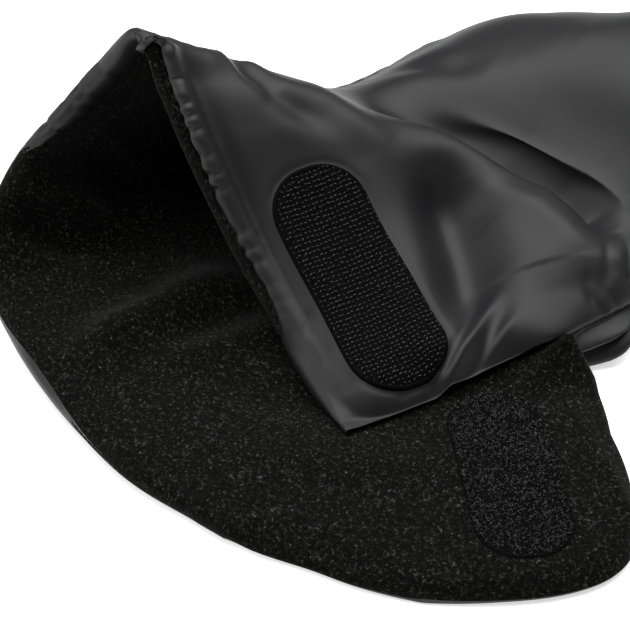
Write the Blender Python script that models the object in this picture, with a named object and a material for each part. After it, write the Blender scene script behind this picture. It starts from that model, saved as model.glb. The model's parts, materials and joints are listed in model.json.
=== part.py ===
"""Padded stroller hand muff, lying open: one mitt with a slit side and a closing flap.

Metres, +Z up, +Y from the mouth to the tip, +X toward the slit side. The muff is an upper
and a lower panel, each of shell cloth, wadding and fleece lining. The lower panel runs on
past the slit as a flap, which folds over the upper panel's edge and sticks to it.
"""
import functools
import math

import bmesh
import bpy
import numpy as np

# Overall size of the muff as it lies, without its flap
MUFF_WIDTH = 0.200
MUFF_LENGTH = 0.300
APEX_HEIGHT = 0.120

# Cloth layers, from the outside in, and the air that separates touching layers
SHELL_THICKNESS = 0.0010
WADDING_THICKNESS = 0.0050
FLEECE_THICKNESS = 0.0021
LAYER_GAP = 0.0003
SEAM_GAP = 0.0003
EDGE_GAP = 0.0010

# How much of the wadding the closed seams press away
PINCH_DEPTH = 0.0036

# Mouth hems
HEM_WIDTH = 0.009
RIM_ROUND = 0.0038

# Closing flap: its reach past the fold line, and the fold line's place beside the slit
FLAP_REACH = 0.083
SLIT_MARGIN = 0.013
FLAP_FAR_MARGIN = 0.004
HINGE_GAP = 0.0006
HINGE_DROP = 0.003

# Hook and loop patches
HOOK_LENGTH = 0.104
HOOK_WIDTH = 0.0425
HOOK_THICKNESS = 0.0018
HOOK_EDGE_DISTANCE = 0.008
HOOK_MOUTH_DISTANCE = 0.036
HOOK_SLANT_SHARE = 0.05
LOOP_LENGTH = 0.070
LOOP_WIDTH = 0.038
LOOP_THICKNESS = 0.0016
LOOP_ROOT_DISTANCE = 0.0375
LOOP_NEAR_DISTANCE = 0.107
LOOP_TURN = math.radians(-23.0)
PATCH_CORNER_SHARE = 0.78
PATCH_GAP = 0.0003

# Fold across the upper panel, behind its raised front
FOLD_DEPTH = 0.017
FOLD_SPAN_SHARE = 0.42

# Faces along each panel
PANEL_COLUMNS = 18
SLIT_ROWS = 8
CURL_ROWS = 3
BODY_ROWS = 17
RIM_STEPS = 3
FLAP_COLUMNS = 9
FLAP_ROWS = 14
PATCH_COLUMNS = 16
PATCH_ROWS = 8
ARC_SAMPLES = 40
SHARE_ROUNDS = 4
SHARP_ANGLE = math.radians(50)

# Rings round the muff at seven places from the mouth to the tip, in shares of its width,
# length and apex height. The upper rings run from the slit side to the far seam.
UPPER_RING_SHARES = (
    ((.435, .003, .167), (.300, .000, .208), (.170, .000, .292), (.050, -.007, .408),
     (-.050, -.013, .542), (-.135, -.020, .692), (-.215, -.023, .842), (-.300, -.030, 1.0)),
    ((.440, .153, .175), (.310, .153, .217), (.180, .150, .292), (.060, .147, .400),
     (-.040, .143, .533), (-.120, .140, .675), (-.210, .133, .758), (-.335, .120, .700)),
    ((.420, .340, .158), (.330, .343, .258), (.210, .343, .317), (.085, .340, .383),
     (-.030, .330, .500), (-.140, .320, .550), (-.275, .310, .517), (-.420, .293, .383)),
    ((.400, .493, .150), (.340, .497, .292), (.230, .497, .358), (.100, .493, .408),
     (-.040, .490, .475), (-.180, .483, .542), (-.350, .473, .500), (-.490, .453, .317)),
    ((.390, .643, .200), (.345, .647, .383), (.240, .650, .517), (.110, .650, .592),
     (-.030, .647, .633), (-.170, .643, .633), (-.360, .633, .550), (-.510, .613, .333)),
    ((.330, .793, .217), (.285, .800, .392), (.190, .807, .508), (.075, .810, .575),
     (-.045, .810, .592), (-.170, .803, .558), (-.310, .790, .450), (-.440, .767, .267)),
    ((.190, .893, .250), (.140, .920, .250), (.075, .940, .250), (.005, .950, .250),
     (-.070, .953, .250), (-.145, .947, .250), (-.220, .923, .250), (-.290, .887, .250)),
)

# The lower rings run on from the far seam, down and under, to the slit side.
LOWER_RING_SHARES = (
    ((-.300, -.030, 1.0), (-.410, -.073, .792), (-.475, -.150, .542), (-.470, -.223, .275),
     (-.350, -.270, .050), (-.060, -.285, .000), (.230, -.257, .000), (.420, -.207, .000)),
    ((-.335, .120, .700), (-.445, .073, .550), (-.500, .027, .367), (-.490, -.013, .167),
     (-.350, -.037, .017), (-.050, -.027, .000), (.240, .010, .000), (.425, .047, .000)),
    ((-.420, .293, .383), (-.510, .267, .267), (-.530, .240, .133), (-.420, .207, .017),
     (-.225, .193, .000), (.050, .213, .000), (.340, .300, .017), (.420, .340, .158)),
    ((-.490, .453, .317), (-.545, .437, .200), (-.515, .423, .075), (-.390, .410, .008),
     (-.190, .400, .000), (.080, .413, .000), (.335, .480, .017), (.400, .493, .150)),
    ((-.510, .613, .333), (-.560, .607, .183), (-.500, .600, .058), (-.360, .597, .008),
     (-.170, .593, .000), (.070, .607, .000), (.320, .637, .033), (.390, .643, .200)),
    ((-.440, .767, .267), (-.480, .770, .150), (-.410, .773, .050), (-.275, .777, .017),
     (-.120, .780, .008), (.060, .787, .017), (.250, .793, .067), (.330, .793, .217)),
    ((-.290, .887, .250), (-.220, .923, .250), (-.145, .947, .250), (-.070, .953, .250),
     (.005, .950, .250), (.075, .940, .250), (.140, .920, .250), (.190, .893, .250)),
)

# Where the lower panel lies flat at the slit instead of turning up to the seam
FLAT_EDGE_SHARES = ((.420, -.207, .000), (.425, .047, .000), (.430, .327, .000))

# Place of the cross fold along the panel, in ring spans, at five places across it
FOLD_PLACE_SHARES = (3.30, 3.30, 3.22, 2.75, 2.05, 1.60)

# Flap outline in shares of the flap's reach and span, from the fold line's near end round to
# its far end, and the two points of it where its sides turn into its end
FLAP_OUTLINE_SHARES = (
    (.00, .000), (.30, .124), (.54, .208), (.74, .305), (.88, .420), (.97, .545), (1.0, .680),
    (.94, .785), (.80, .865), (.54, .938), (.25, .985), (.00, 1.00),
)
FLAP_NEAR_CORNER = 3
FLAP_FAR_CORNER = 8

RING_POINTS = len(UPPER_RING_SHARES[0])
RING_SPANS = RING_POINTS - 1
STATION_SPANS = len(UPPER_RING_SHARES) - 1
SLIT_END_SHARE = 2 / STATION_SPANS
CURL_SHARE = 0.15
SEAM_START_SHARE = SLIT_END_SHARE + CURL_SHARE * 2 / 3
PINCH_SHARE = 0.13
LIFT_SHARE = 0.09
DIFFERENCE_SHARE = 0.001
SEAM_INSET_SHARE = 0.025

SHELL_INSIDE = SHELL_THICKNESS
WADDING_OUTSIDE = SHELL_INSIDE + LAYER_GAP
WADDING_INSIDE = WADDING_OUTSIDE + WADDING_THICKNESS
LINING_OUTSIDE = WADDING_INSIDE + LAYER_GAP
WALL = LINING_OUTSIDE + FLEECE_THICKNESS
HEM_OUTSIDE = WALL + LAYER_GAP
HEM_INSIDE = HEM_OUTSIDE + SHELL_THICKNESS


def scaled(shares):
    """A table of shares as points in metres."""
    return np.array(shares) * np.array((MUFF_WIDTH, MUFF_LENGTH, APEX_HEIGHT))


UPPER_RINGS = scaled(UPPER_RING_SHARES)
LOWER_RINGS = scaled(LOWER_RING_SHARES)
FLAT_EDGE = scaled(FLAT_EDGE_SHARES)

# The fold line of the flap starts at the mouth's rim and ends past the slit. The cloth turns
# over the upper panel's edge there, so the hinge axis lies just below the edge's height.
FOLD_LINE_X = FLAT_EDGE[0][0] + SLIT_MARGIN
FLAP_NEAR_Y = FLAT_EDGE[0][1] - RIM_ROUND
FLAP_SPAN = FLAT_EDGE[-1][1] + FLAP_FAR_MARGIN - FLAP_NEAR_Y
HINGE_HEIGHT = UPPER_RINGS[0][0][2] - HINGE_DROP
HINGE_PLACE = np.array((FOLD_LINE_X, FLAP_NEAR_Y + FLAP_SPAN / 2, HINGE_HEIGHT))


def smooth_step(share):
    share = min(max(share, 0.0), 1.0)
    return share * share * (3 - 2 * share)


def curve_point(points, place):
    """Point on the smooth curve through points[1:-1]; the first and last only steer its ends."""
    span = min(max(int(place), 0), len(points) - 4)
    t = place - span
    before, start, end, after = points[span:span + 4]
    return (start + (end - before) * t / 2
            + (2 * before - 5 * start + 4 * end - after) * t ** 2 / 2
            + (3 * start - before - 3 * end + after) * t ** 3 / 2)


def open_curve(points):
    """The points with one more at each end, so that the curve runs straight out."""
    points = np.asarray(points)
    return np.concatenate(([2 * points[0] - points[1]], points, [2 * points[-1] - points[-2]]))


def ring_at(rings, other_rings, v):
    """The ring's points at share v of the length; at the tip the two panels turn into each other."""
    before = 2 * rings[0] - rings[1]
    after = other_rings[-2][::-1]
    return curve_point(np.concatenate(([before], rings, [after])), v * STATION_SPANS)


def cross_fold(u, v):
    """How far the upper panel dips at (u, v) in the fold behind its raised front."""
    place = curve_point(open_curve(FOLD_PLACE_SHARES), u * (len(FOLD_PLACE_SHARES) - 1))
    across = (v * STATION_SPANS - place) / FOLD_SPAN_SHARE
    return FOLD_DEPTH * math.exp(-across * across) * smooth_step(3 * u) * smooth_step(3 * (1 - u))


def flatness(v):
    """1 where the lower panel's slit side lies flat, 0 where it has turned up to the seam."""
    return 1 - smooth_step((v - SEAM_START_SHARE) / CURL_SHARE + 1)


def upper_skin(u, v):
    """Outside of the upper panel: u from the slit side to the far seam, v from mouth to tip."""
    ring = ring_at(UPPER_RINGS, LOWER_RINGS, v)
    lower = ring_at(LOWER_RINGS, UPPER_RINGS, v)
    lift = smooth_step((SLIT_END_SHARE - v) / LIFT_SHARE)
    before = lower[-2] * (1 - lift) + (2 * ring[0] - ring[1]) * lift
    point = curve_point(np.concatenate(([before], ring, [lower[1]])), u * RING_SPANS)
    point[2] -= cross_fold(u, v)
    return point


def lower_skin(u, v):
    """Outside of the lower panel: u from the far seam, down and under, to the slit side."""
    ring = ring_at(LOWER_RINGS, UPPER_RINGS, v)
    upper = ring_at(UPPER_RINGS, LOWER_RINGS, v)
    flat = flatness(v)
    edge = curve_point(open_curve(FLAT_EDGE), min(v * STATION_SPANS, len(FLAT_EDGE) - 1.0))
    slit_side = upper[0] * (1 - flat) + edge * flat
    after = upper[1] * (1 - flat) + (2 * edge - ring[-2]) * flat
    ring = np.concatenate(([upper[-2]], ring[:-1], [slit_side], [after]))
    point = curve_point(ring, min(u, 1.0) * RING_SPANS)
    if u > 1:
        fold = np.array((FOLD_LINE_X - HINGE_GAP / 2, point[1], 0.0))
        point = point + (fold - point) * (u - 1) * PANEL_COLUMNS
    point[2] = max(point[2], 0.0)
    return point


@functools.lru_cache(maxsize=None)
def skin_frame(skin, u, v):
    """Point, outward normal and unit tangents along u and v of a skin."""
    step = DIFFERENCE_SHARE
    point = skin(u, v)
    along_u = skin(u + step, v) - skin(u - step, v)
    along_v = skin(u, v + step) - skin(u, v - step)
    along_u /= np.linalg.norm(along_u)
    along_v /= np.linalg.norm(along_v)
    normal = np.cross(along_v, along_u)
    return point, normal / np.linalg.norm(normal), along_u, along_v


def pressed(depth, pinch_share):
    """Depth in the wall where sewing has pressed this share of the pinch out of the wadding."""
    into_wadding = min(max((depth - WADDING_OUTSIDE) / WADDING_THICKNESS, 0.0), 1.0)
    return depth - PINCH_DEPTH * pinch_share * into_wadding


def panel_pinch(skin, u, v):
    """Share of the pinch on a panel: whole along its seams and the upper panel's slit edge."""
    from_far = u if skin is lower_skin else 1 - u
    near_far = 1 - smooth_step(from_far / PINCH_SHARE)
    near_slit_side = 1 - smooth_step((1 - from_far) / PINCH_SHARE)
    if skin is lower_skin:
        near_slit_side *= smooth_step((v - SLIT_END_SHARE + LIFT_SHARE) / LIFT_SHARE)
    near_tip = 1 - smooth_step((1 - v) / PINCH_SHARE)
    return max(near_far, near_slit_side, near_tip)


@functools.lru_cache(maxsize=None)
def seam_frame(skin, u, v):
    """Point on a closed seam, its outward normal and the way from it into the skin's own panel."""
    other = lower_skin if skin is upper_skin else upper_skin
    inside_u = min(max(u, SEAM_INSET_SHARE), 1 - SEAM_INSET_SHARE)
    inside_v = min(v, 1 - SEAM_INSET_SHARE)
    own_point, own_normal, _, _ = skin_frame(skin, inside_u, inside_v)
    other_point, other_normal, _, _ = skin_frame(other, 1 - inside_u, inside_v)
    normal = own_normal + other_normal
    into = own_point - other_point
    return skin(u, v), normal / np.linalg.norm(normal), into / np.linalg.norm(into)


def triangulated_grid(columns, rows):
    """A flat unit grid from (0, 0) to (columns, rows), each square cut along one diagonal."""
    bm = bmesh.new()
    bmesh.ops.create_grid(bm, x_segments=columns, y_segments=rows, size=0.5)
    for vert in bm.verts:
        vert.co.x = round((vert.co.x + 0.5) * columns)
        vert.co.y = round((vert.co.y + 0.5) * rows)
    for face in list(bm.faces):
        corners = sorted(face.verts, key=lambda vert: vert.co.x - vert.co.y)
        bmesh.utils.face_split(face, corners[0], corners[-1])
    return bm


def thick_sheet(bm, outside, inside, column_sense=1):
    """Turn a flat grid into a closed solid whose two skins lie where the functions say.

    The edge walls are cut along matching diagonals too, so that panels meet face to face.
    """
    grown = bmesh.ops.extrude_face_region(bm, geom=bm.faces[:], use_keep_orig=True)
    inner = {item for item in grown["geom"] if isinstance(item, bmesh.types.BMVert)}
    for wall in [face for face in bm.faces if len(face.verts) == 4]:
        order = sorted(wall.verts, key=lambda vert: vert.co.x * column_sense + vert.co.y)
        first = [vert for vert in order[:2] if vert not in inner][0]
        last = [vert for vert in order[2:] if vert in inner][0]
        bmesh.utils.face_split(wall, first, last)
    for vert in bm.verts:
        place = inside if vert in inner else outside
        vert.co = place(round(vert.co.x), round(vert.co.y))
    bmesh.ops.recalc_face_normals(bm, faces=bm.faces[:])
    if bm.calc_volume(signed=True) < 0:
        bmesh.ops.reverse_faces(bm, faces=bm.faces[:])


def finished_object(name, bm, material, parent):
    mesh = bpy.data.meshes.new(name)
    bm.to_mesh(mesh)
    bm.free()
    mesh.materials.append(material)
    mesh.shade_smooth()
    mesh.set_sharp_from_angle(angle=SHARP_ANGLE)
    piece = bpy.data.objects.new(name, mesh)
    bpy.context.scene.collection.objects.link(piece)
    piece.parent = parent
    return piece


def cloth_material(name, colour, roughness, sheen):
    material = bpy.data.materials.new(name)
    material.use_nodes = True
    shader = material.node_tree.nodes["Principled BSDF"]
    shader.inputs["Base Color"].default_value = (*colour, 1.0)
    shader.inputs["Roughness"].default_value = roughness
    shader.inputs["Metallic"].default_value = 0.0
    shader.inputs["Sheen Weight"].default_value = sheen
    return material


def panel_rows(outer, inner):
    """Rows of a panel from mouth to tip: v, then how far each skin lies ahead of v and how deep."""
    hem_share = HEM_WIDTH / MUFF_LENGTH
    places = [0.0]
    places += list(np.linspace(hem_share, SLIT_END_SHARE, SLIT_ROWS))
    places += list(np.linspace(SLIT_END_SHARE, SEAM_START_SHARE, CURL_ROWS + 1)[1:])
    places += list(np.linspace(SEAM_START_SHARE, 1.0, BODY_ROWS + 1)[1:])
    return [(v, (0.0, outer), (0.0, inner)) for v in places]


def rim_rows(near, far, thickness, thick_side):
    """Rows that carry a cloth round the mouth's rim, from depth near to depth far.

    thick_side is 1 where the cloth's other skin lies inside the turn.
    """
    middle = (near + far) / 2
    half = (far - near) / 2
    rows = []
    for step in range(1, RIM_STEPS + 1):
        turn = math.pi * step / (RIM_STEPS + 1)
        ahead, depth = math.sin(turn), math.cos(turn)
        outer = (RIM_ROUND * ahead, middle - half * depth)
        inner = ((RIM_ROUND - thickness) * ahead, middle - (half - thickness) * depth)
        rows.append((0.0, outer, inner) if thick_side > 0 else (0.0, inner, outer))
    return rows


def build_panel(name, skin, rows, material, parent, flap_root=False):
    """One cloth layer of a panel, between the two depths that its rows give."""
    columns = PANEL_COLUMNS + (1 if flap_root else 0)
    bm = triangulated_grid(columns, len(rows) - 1)
    if flap_root:
        past_slit = [face for face in bm.faces
                     if face.calc_center_median().x > PANEL_COLUMNS
                     and rows[int(face.calc_center_median().y)][0] >= SLIT_END_SHARE]
        bmesh.ops.delete(bm, geom=past_slit, context="FACES")
    seam_shift = SEAM_GAP / 2

    def place(column, row, which):
        v, *skins = rows[row]
        ahead, depth = skins[which]
        u = column / PANEL_COLUMNS
        at_far_seam = column == (PANEL_COLUMNS if skin is upper_skin else 0)
        at_slit_side = column == (0 if skin is upper_skin else PANEL_COLUMNS)
        if at_far_seam or row == len(rows) - 1 or (at_slit_side and v >= SEAM_START_SHARE):
            point, normal, into = seam_frame(skin, u, v)
            point = point + into * seam_shift
        else:
            point, normal, _, _ = skin_frame(skin, u, v)
            if column > PANEL_COLUMNS:
                normal = np.array((0, 0, -1))
            elif at_slit_side and skin is lower_skin:
                beside = skin_frame(upper_skin, 0.0, v)[1]
                normal = normal * flatness(v) + beside * (1 - flatness(v))
                normal = normal / np.linalg.norm(normal)
        if ahead:
            point = point - skin_frame(skin, u, v)[3] * ahead
        return point - normal * pressed(depth, panel_pinch(skin, u, v))

    column_sense = 1 if skin is upper_skin else -1
    thick_sheet(bm, lambda c, r: place(c, r, 0), lambda c, r: place(c, r, 1), column_sense)
    return finished_object(name, bm, material, parent)


def flap_outline(place):
    """Point of the flap's outline, flat, measured from the fold line's near end."""
    return curve_point(open_curve(FLAP_OUTLINE_SHARES), place) * np.array((FLAP_REACH, FLAP_SPAN))


def flap_point(s, t, height):
    """Point of the flap: s from the fold line out, t from the near to the far side."""
    last = len(FLAP_OUTLINE_SHARES) - 1
    near_side = flap_outline(s * FLAP_NEAR_CORNER)
    far_side = flap_outline(last - s * (last - FLAP_FAR_CORNER))
    end = flap_outline(FLAP_NEAR_CORNER + t * (FLAP_FAR_CORNER - FLAP_NEAR_CORNER))
    fold = flap_outline(0) * (1 - t) + flap_outline(last) * t
    end_chord = flap_outline(FLAP_NEAR_CORNER) * (1 - t) + flap_outline(FLAP_FAR_CORNER) * t
    across = fold * (1 - s) + end * s
    along = near_side * (1 - t) + far_side * t
    flat = along + across - fold * (1 - s) - end_chord * s
    return np.array((FOLD_LINE_X + HINGE_GAP / 2 + flat[0], FLAP_NEAR_Y + flat[1], height))


def flap_pinch(s, t):
    """Share of the pinch on the flap: whole along its sewn edges, none at its fold."""
    near_end = 1 - smooth_step((1 - s) / PINCH_SHARE)
    near_sides = 1 - smooth_step(min(t, 1 - t) / PINCH_SHARE)
    return max(near_end, near_sides * smooth_step(s / PINCH_SHARE))


def build_flap_layer(name, low, high, material, parent):
    bm = triangulated_grid(FLAP_COLUMNS, FLAP_ROWS)

    def place(column, row, height):
        s, t = column / FLAP_COLUMNS, row / FLAP_ROWS
        return flap_point(s, t, pressed(height, flap_pinch(s, t))) - HINGE_PLACE

    thick_sheet(bm, lambda c, r: place(c, r, low), lambda c, r: place(c, r, high))
    return finished_object(name, bm, material, parent)


def patch_outline_point(a, b, length, width):
    """Point of a round-ended patch: a and b run from -1 to 1 along and across it."""
    radius = width / 2 * PATCH_CORNER_SHARE
    half_length, half_width = length / 2, width / 2
    along = a * half_length
    into_corner = max(abs(along) - (half_length - radius), 0.0)
    drawn_in = radius - math.sqrt(max(radius ** 2 - into_corner ** 2, 0.0))
    return along, b * (half_width - drawn_in)


def eased(place):
    """Rows crowd toward the patch's round ends."""
    return math.sin(place * math.pi / 2)


def patch_grid_place(column, row, length, width):
    a = eased(2 * column / PATCH_COLUMNS - 1)
    return patch_outline_point(a, 2 * row / PATCH_ROWS - 1, length, width)


def arc_share(curve, distance):
    """The share of a curve, from 0 to 1, that lies this far along it."""
    steps = np.linspace(0.0, 1.0, ARC_SAMPLES)
    points = np.array([curve(place) for place in steps])
    lengths = np.concatenate(([0.0], np.cumsum(np.linalg.norm(np.diff(points, axis=0), axis=1))))
    return float(np.interp(distance, lengths, steps))


def surface_share(skin, distance_u, distance_v):
    """The (u, v) that lies these distances from the slit edge and from the mouth."""
    u, v = 0.0, 0.0
    for _ in range(SHARE_ROUNDS):
        v = arc_share(lambda place: skin(u, place), distance_v)
        u = arc_share(lambda place: skin(place, v), distance_u)
    return u, v


def build_hook_patch(material, parent):
    """The hook patch follows the upper panel's outside, a patch gap above it."""
    bm = triangulated_grid(PATCH_COLUMNS, PATCH_ROWS)
    u_table = {}

    def place(column, row, height):
        along, across = patch_grid_place(column, row, HOOK_LENGTH, HOOK_WIDTH)
        from_edge = HOOK_EDGE_DISTANCE + HOOK_LENGTH / 2 + along
        from_mouth = HOOK_MOUTH_DISTANCE + across + HOOK_SLANT_SHARE * along
        if (column, row) not in u_table:
            u_table[column, row] = surface_share(upper_skin, from_edge, from_mouth)
        u, v = u_table[column, row]
        point, normal, _, _ = skin_frame(upper_skin, u, v)
        return point + normal * height

    thick_sheet(bm, lambda c, r: place(c, r, PATCH_GAP + HOOK_THICKNESS),
                lambda c, r: place(c, r, PATCH_GAP))
    return finished_object("hook_patch", bm, material, parent)


def build_loop_patch(material, parent):
    """The loop patch lies flat on the flap's fleece."""
    bm = triangulated_grid(PATCH_COLUMNS, PATCH_ROWS)
    centre = np.array((FOLD_LINE_X + LOOP_ROOT_DISTANCE, FLAP_NEAR_Y + LOOP_NEAR_DISTANCE, 0.0))

    def place(column, row, height):
        along, across = patch_grid_place(column, row, LOOP_LENGTH, LOOP_WIDTH)
        x = along * math.cos(LOOP_TURN) - across * math.sin(LOOP_TURN)
        y = along * math.sin(LOOP_TURN) + across * math.cos(LOOP_TURN)
        return centre + np.array((x, y, height)) - HINGE_PLACE

    thick_sheet(bm, lambda c, r: place(c, r, WALL + PATCH_GAP + LOOP_THICKNESS),
                lambda c, r: place(c, r, WALL + PATCH_GAP))
    return finished_object("loop_patch", bm, material, parent)


def empty_at(name, location, parent=None):
    empty = bpy.data.objects.new(name, None)
    empty.location = location
    empty.parent = parent
    bpy.context.scene.collection.objects.link(empty)
    return empty


def stand_on_centre(muff):
    """Move the muff so that the middle of its underside box is the origin."""
    bpy.context.view_layer.update()
    points = np.array([item.matrix_world @ vert.co for item in bpy.data.objects
                       if item.type == "MESH" for vert in item.data.vertices])
    low, high = points.min(axis=0), points.max(axis=0)
    muff.location = (-(low[0] + high[0]) / 2, -(low[1] + high[1]) / 2, -low[2])


def main():
    for item in list(bpy.data.objects):
        bpy.data.objects.remove(item)

    nylon = cloth_material("shell_nylon", (0.022, 0.023, 0.025), 0.42, 0.15)
    wadding = cloth_material("polyester_wadding", (0.72, 0.72, 0.70), 0.95, 0.3)
    fleece = cloth_material("lining_fleece", (0.006, 0.006, 0.006), 0.95, 0.4)
    hook = cloth_material("hook_tape", (0.010, 0.010, 0.010), 0.55, 0.0)
    loop = cloth_material("loop_tape", (0.012, 0.012, 0.012), 0.85, 0.3)

    muff = empty_at("muff", (0, 0, 0))
    flap_hinge = empty_at("flap_hinge", HINGE_PLACE, muff)

    shell_rows = panel_rows(0.0, SHELL_INSIDE)
    wadding_rows = panel_rows(WADDING_OUTSIDE, WADDING_INSIDE)
    lining_rows = panel_rows(LINING_OUTSIDE, WALL)

    hem_rows = [(v, (0.0, HEM_INSIDE), (0.0, HEM_OUTSIDE)) for v, _, _ in shell_rows[1::-1]]
    turned_rows = hem_rows + rim_rows(0.0, HEM_INSIDE, SHELL_THICKNESS, 1)[::-1] + shell_rows
    lining_turn = rim_rows(WADDING_OUTSIDE, WALL, FLEECE_THICKNESS, -1)
    edge_row = [(0.0, (EDGE_GAP, WADDING_OUTSIDE + FLEECE_THICKNESS), (EDGE_GAP, WADDING_OUTSIDE))]

    build_panel("shell_upper", upper_skin, shell_rows, nylon, muff)
    build_panel("wadding_upper", upper_skin, wadding_rows, wadding, muff)
    build_panel("lining_upper", upper_skin, edge_row + lining_turn + lining_rows, fleece, muff)
    build_panel("shell_lower", lower_skin, turned_rows, nylon, muff, flap_root=True)
    build_panel("wadding_lower", lower_skin, wadding_rows, wadding, muff, flap_root=True)
    build_panel("lining_lower", lower_skin, lining_rows, fleece, muff, flap_root=True)
    build_hook_patch(hook, muff)

    build_flap_layer("shell_flap", 0.0, SHELL_INSIDE, nylon, flap_hinge)
    build_flap_layer("wadding_flap", WADDING_OUTSIDE, WADDING_INSIDE, wadding, flap_hinge)
    build_flap_layer("lining_flap", LINING_OUTSIDE, WALL, fleece, flap_hinge)
    build_loop_patch(loop, flap_hinge)
    stand_on_centre(muff)


main()
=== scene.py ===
"""Looks of a padded stroller hand muff that lies open: satin nylon outside, fleece inside.

The panels are laid out as in the solids: rings round the muff from its mouth to its tip, in
metres, +Z up, +Y towards the tip, +X towards the slit and its flap.
"""
import json
import math
import random

import bmesh
import bpy
import numpy as np
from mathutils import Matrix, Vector, noise
from mathutils.bvhtree import BVHTree


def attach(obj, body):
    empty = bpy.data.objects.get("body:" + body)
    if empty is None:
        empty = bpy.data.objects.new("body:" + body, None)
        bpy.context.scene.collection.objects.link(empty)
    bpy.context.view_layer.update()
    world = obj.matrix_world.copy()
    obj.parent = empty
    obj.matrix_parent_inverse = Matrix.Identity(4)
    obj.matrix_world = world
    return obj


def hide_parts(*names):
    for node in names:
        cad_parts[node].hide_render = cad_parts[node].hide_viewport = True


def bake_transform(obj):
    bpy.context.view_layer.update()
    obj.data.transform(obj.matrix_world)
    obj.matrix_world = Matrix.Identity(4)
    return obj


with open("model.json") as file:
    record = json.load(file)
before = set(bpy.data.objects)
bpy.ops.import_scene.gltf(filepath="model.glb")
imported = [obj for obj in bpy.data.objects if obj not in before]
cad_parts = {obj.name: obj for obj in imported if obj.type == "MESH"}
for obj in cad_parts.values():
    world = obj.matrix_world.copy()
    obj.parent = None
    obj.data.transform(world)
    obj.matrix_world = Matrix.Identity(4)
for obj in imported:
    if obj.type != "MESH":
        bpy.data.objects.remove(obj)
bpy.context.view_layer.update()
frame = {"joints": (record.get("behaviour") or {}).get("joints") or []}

# Sizes of the muff, as in its solids
MUFF_SIZE = np.array((0.200, 0.300, 0.120))
WALL = 0.0087
PINCH_DEPTH = 0.0036
PINCH_SHARE = 0.13
RIM_ROUND = 0.0038
FLAP_REACH = 0.083
SLIT_MARGIN = 0.013
FLAP_FAR_MARGIN = 0.004
HINGE_DROP = 0.003
HOOK_LENGTH = 0.104
HOOK_WIDTH = 0.0425
HOOK_EDGE_DISTANCE = 0.008
HOOK_MOUTH_DISTANCE = 0.036
HOOK_SLANT_SHARE = 0.05
LOOP_LENGTH = 0.070
LOOP_WIDTH = 0.038
LOOP_ROOT_DISTANCE = 0.0375
LOOP_NEAR_DISTANCE = 0.107
LOOP_TURN = math.radians(-23.0)
PATCH_CORNER_SHARE = 0.92
FOLD_DEPTH = 0.017
FOLD_SPAN_SHARE = 0.42

UPPER_RING_SHARES = (
    ((.435, .003, .167), (.300, .000, .208), (.170, .000, .292), (.050, -.007, .408),
     (-.050, -.013, .542), (-.135, -.020, .692), (-.215, -.023, .842), (-.300, -.030, 1.0)),
    ((.440, .153, .175), (.310, .153, .217), (.180, .150, .292), (.060, .147, .400),
     (-.040, .143, .533), (-.120, .140, .675), (-.210, .133, .758), (-.335, .120, .700)),
    ((.420, .340, .158), (.330, .343, .258), (.210, .343, .317), (.085, .340, .383),
     (-.030, .330, .500), (-.140, .320, .550), (-.275, .310, .517), (-.420, .293, .383)),
    ((.400, .493, .150), (.340, .497, .292), (.230, .497, .358), (.100, .493, .408),
     (-.040, .490, .475), (-.180, .483, .542), (-.350, .473, .500), (-.490, .453, .317)),
    ((.390, .643, .200), (.345, .647, .383), (.240, .650, .517), (.110, .650, .592),
     (-.030, .647, .633), (-.170, .643, .633), (-.360, .633, .550), (-.510, .613, .333)),
    ((.330, .793, .217), (.285, .800, .392), (.190, .807, .508), (.075, .810, .575),
     (-.045, .810, .592), (-.170, .803, .558), (-.310, .790, .450), (-.440, .767, .267)),
    ((.190, .893, .250), (.140, .920, .250), (.075, .940, .250), (.005, .950, .250),
     (-.070, .953, .250), (-.145, .947, .250), (-.220, .923, .250), (-.290, .887, .250)),
)
LOWER_RING_SHARES = (
    ((-.300, -.030, 1.0), (-.410, -.073, .792), (-.475, -.150, .542), (-.470, -.223, .275),
     (-.350, -.270, .050), (-.060, -.285, .000), (.230, -.257, .000), (.420, -.207, .000)),
    ((-.335, .120, .700), (-.445, .073, .550), (-.500, .027, .367), (-.490, -.013, .167),
     (-.350, -.037, .017), (-.050, -.027, .000), (.240, .010, .000), (.425, .047, .000)),
    ((-.420, .293, .383), (-.510, .267, .267), (-.530, .240, .133), (-.420, .207, .017),
     (-.225, .193, .000), (.050, .213, .000), (.340, .300, .017), (.420, .340, .158)),
    ((-.490, .453, .317), (-.545, .437, .200), (-.515, .423, .075), (-.390, .410, .008),
     (-.190, .400, .000), (.080, .413, .000), (.335, .480, .017), (.400, .493, .150)),
    ((-.510, .613, .333), (-.560, .607, .183), (-.500, .600, .058), (-.360, .597, .008),
     (-.170, .593, .000), (.070, .607, .000), (.320, .637, .033), (.390, .643, .200)),
    ((-.440, .767, .267), (-.480, .770, .150), (-.410, .773, .050), (-.275, .777, .017),
     (-.120, .780, .008), (.060, .787, .017), (.250, .793, .067), (.330, .793, .217)),
    UPPER_RING_SHARES[-1][::-1],
)
FLAT_EDGE_SHARES = ((.420, -.207, .000), (.425, .047, .000), (.430, .327, .000))
FOLD_PLACE_SHARES = (3.30, 3.30, 3.22, 2.75, 2.05, 1.60)
FLAP_OUTLINE_SHARES = (
    (.00, .000), (.30, .124), (.54, .208), (.74, .305), (.88, .420), (.97, .545), (1.0, .680),
    (.94, .785), (.80, .865), (.54, .938), (.25, .985), (.00, 1.00),
)
FLAP_NEAR_CORNER = 3
FLAP_FAR_CORNER = 8

RING_SPANS = len(UPPER_RING_SHARES[0]) - 1
STATION_SPANS = len(UPPER_RING_SHARES) - 1
SLIT_END_SHARE = 2 / STATION_SPANS
CURL_SHARE = 0.15
SEAM_START_SHARE = SLIT_END_SHARE + CURL_SHARE * 2 / 3
LIFT_SHARE = 0.09

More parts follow.
